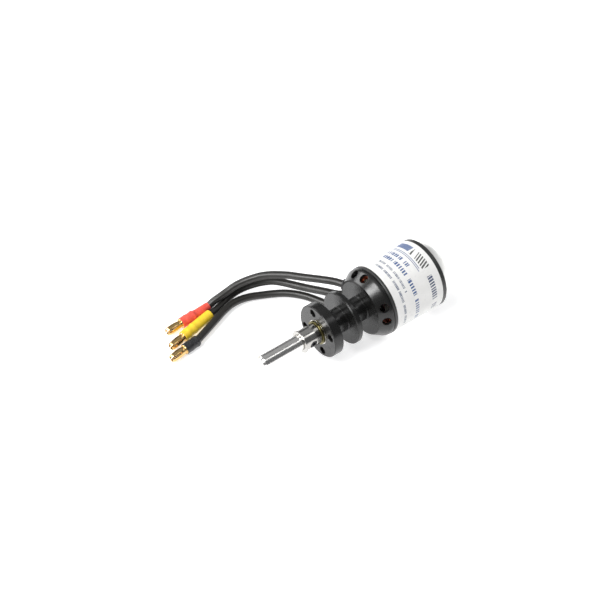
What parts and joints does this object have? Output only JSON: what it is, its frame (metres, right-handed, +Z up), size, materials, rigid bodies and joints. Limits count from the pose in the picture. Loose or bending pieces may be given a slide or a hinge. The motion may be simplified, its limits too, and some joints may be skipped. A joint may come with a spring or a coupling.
{
  "type": "brushless outrunner motor",
  "caption": "Brushless outrunner motor on a black spool-shaped front mount with a vented housing, labelled rotor can, dished rear cover, steel shaft and three bullet-ended leads.",
  "frame": {"origin": "centre of the bolt circle on the front face of the mounting flange, on the motor axis", "axes": "+X out along the output shaft, +Z up with the motor lying on its rotor can, +Y to the side away from the leads"},
  "size_m": [0.103, 0.0601, 0.028],
  "materials": {
    "black_anodised": "satin black anodised, turned",
    "aluminium": "machined",
    "bearing_steel": "ground and polished",
    "bearing_shield": "olive passivated",
    "lamination_steel": "stacked laminations",
    "insulator": "matt",
    "copper_enamel": "red enamel over copper",
    "lead_insulation": "satin silicone",
    "grommet_rubber": "matt",
    "sleeve_red": "satin heat-shrink",
    "sleeve_yellow": "satin heat-shrink",
    "sleeve_black": "satin heat-shrink",
    "gold_plate": "gold plated, bright",
    "can_black": "satin black",
    "magnet": "nickel plated",
    "label_film": "printed polymer film",
    "black_oxide": "black oxide",
    "polished_steel": "ground and polished",
    "brass": "satin",
    "cage_brass": "satin"
  },
  "bodies": {
    "stator": {"front_mount": "black_anodised", "bearing_tube": "aluminium", "front_bearing_outer_ring": "bearing_steel", "front_bearing_shields": "bearing_shield", "rear_bearing_outer_ring": "bearing_steel", "rear_bearing_shields": "bearing_shield", "stator_core": "lamination_steel", "stator_end_caps": "insulator", "windings": "copper_enamel", "phase_tails": "copper_enamel", "lead_inner_ends": "lead_insulation", "lead_grommets": "grommet_rubber", "lead_red": "lead_insulation", "lead_yellow": "lead_insulation", "lead_black": "lead_insulation", "sleeve_red": "sleeve_red", "sleeve_yellow": "sleeve_yellow", "sleeve_black": "sleeve_black", "bullet_red": "gold_plate", "bullet_yellow": "gold_plate", "bullet_black": "gold_plate"},
    "rotor": {"rotor_can": "can_black", "magnets": "magnet", "label": "label_film", "end_bell": "aluminium", "bell_set_screws": "black_oxide", "shaft": "polished_steel", "shaft_collar": "polished_steel", "collar_set_screw": "black_oxide", "thrust_washer": "brass", "rear_spacer": "brass", "front_bearing_inner_ring": "bearing_steel", "rear_bearing_inner_ring": "bearing_steel"},
    "front_ball_set": {"front_bearing_balls": "bearing_steel", "front_bearing_cage": "cage_brass"},
    "rear_ball_set": {"rear_bearing_balls": "bearing_steel", "rear_bearing_cage": "cage_brass"}
  },
  "joints": [
    {"name": "rotor_spin", "type": "hinge", "parent": "stator", "child": "rotor", "pos_m": [0, 0, 0], "axis": [1, 0, 0], "continuous": true},
    {"name": "front_balls_roll", "type": "hinge", "parent": "stator", "child": "front_ball_set", "pos_m": [0, 0, 0], "axis": [1, 0, 0], "continuous": true},
    {"name": "rear_balls_roll", "type": "hinge", "parent": "stator", "child": "rear_ball_set", "pos_m": [0, 0, 0], "axis": [1, 0, 0], "continuous": true}
  ],
  "couplings": [
    {"joint": "front_balls_roll", "follows": "rotor_spin", "ratio": 0.425},
    {"joint": "rear_balls_roll", "follows": "rotor_spin", "ratio": 0.425}
  ]
}
